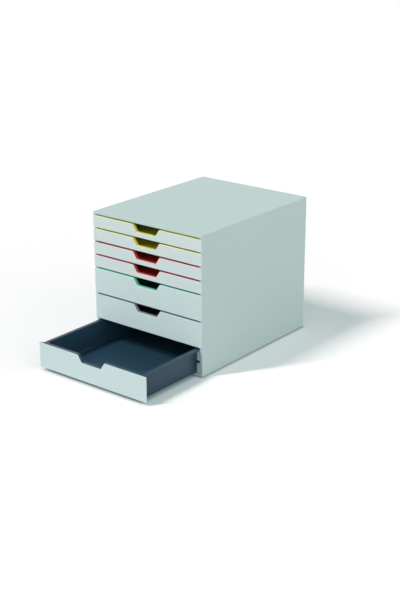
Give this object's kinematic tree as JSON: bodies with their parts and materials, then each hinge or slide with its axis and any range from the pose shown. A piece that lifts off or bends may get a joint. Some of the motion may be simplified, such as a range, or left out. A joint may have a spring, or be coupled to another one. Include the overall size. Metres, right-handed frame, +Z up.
{
  "type": "desktop drawer unit",
  "caption": "Desktop cabinet for paper: coloured drawers of different heights slide out of a light grey housing, each with a finger notch in its front edge.",
  "frame": {"origin": "centre of the housing's footprint, on the table plane", "axes": "+Z up, -Y out of the drawers' fronts, +X to the right of someone who faces the fronts"},
  "size_m": [0.28, 0.5194, 0.292],
  "materials": {
    "housing_plastic": "fine matt moulded",
    "cover_plastic": "satin moulded",
    "yellow_plastic": "satin moulded",
    "red_plastic": "satin moulded",
    "green_plastic": "satin moulded",
    "lilac_plastic": "satin moulded",
    "slate_plastic": "satin moulded",
    "foot_rubber": "matt",
    "screw_steel": "zinc plated"
  },
  "bodies": {
    "housing": {"housing_shell": "housing_plastic", "rear_panel": "housing_plastic", "left_runner_frame": "housing_plastic", "right_runner_frame": "housing_plastic", "foot_front_left": "foot_rubber", "foot_front_right": "foot_rubber", "foot_rear_left": "foot_rubber", "foot_rear_right": "foot_rubber", "rear_screws": "screw_steel", "runner_screws": "screw_steel"},
    "drawer_1": {"tray_1": "yellow_plastic", "front_cover_1": "cover_plastic"},
    "drawer_2": {"tray_2": "yellow_plastic", "front_cover_2": "cover_plastic"},
    "drawer_3": {"tray_3": "red_plastic", "front_cover_3": "cover_plastic"},
    "drawer_4": {"tray_4": "red_plastic", "front_cover_4": "cover_plastic"},
    "drawer_5": {"tray_5": "green_plastic", "front_cover_5": "cover_plastic"},
    "drawer_6": {"tray_6": "lilac_plastic", "front_cover_6": "cover_plastic"},
    "drawer_7": {"tray_7": "slate_plastic", "front_cover_7": "cover_plastic"}
  },
  "joints": [
    {"name": "drawer_1_slide", "type": "slide", "parent": "housing", "child": "drawer_1", "axis": [0, -1, 0], "range_m": [0, 0.25]},
    {"name": "drawer_2_slide", "type": "slide", "parent": "housing", "child": "drawer_2", "axis": [0, -1, 0], "range_m": [0, 0.25]},
    {"name": "drawer_3_slide", "type": "slide", "parent": "housing", "child": "drawer_3", "axis": [0, -1, 0], "range_m": [0, 0.25]},
    {"name": "drawer_4_slide", "type": "slide", "parent": "housing", "child": "drawer_4", "axis": [0, -1, 0], "range_m": [0, 0.25]},
    {"name": "drawer_5_slide", "type": "slide", "parent": "housing", "child": "drawer_5", "axis": [0, -1, 0], "range_m": [0, 0.25]},
    {"name": "drawer_6_slide", "type": "slide", "parent": "housing", "child": "drawer_6", "axis": [0, -1, 0], "range_m": [0, 0.25]},
    {"name": "drawer_7_slide", "type": "slide", "parent": "housing", "child": "drawer_7", "axis": [0, -1, 0], "range_m": [-0.1654, 0.0846]}
  ]
}
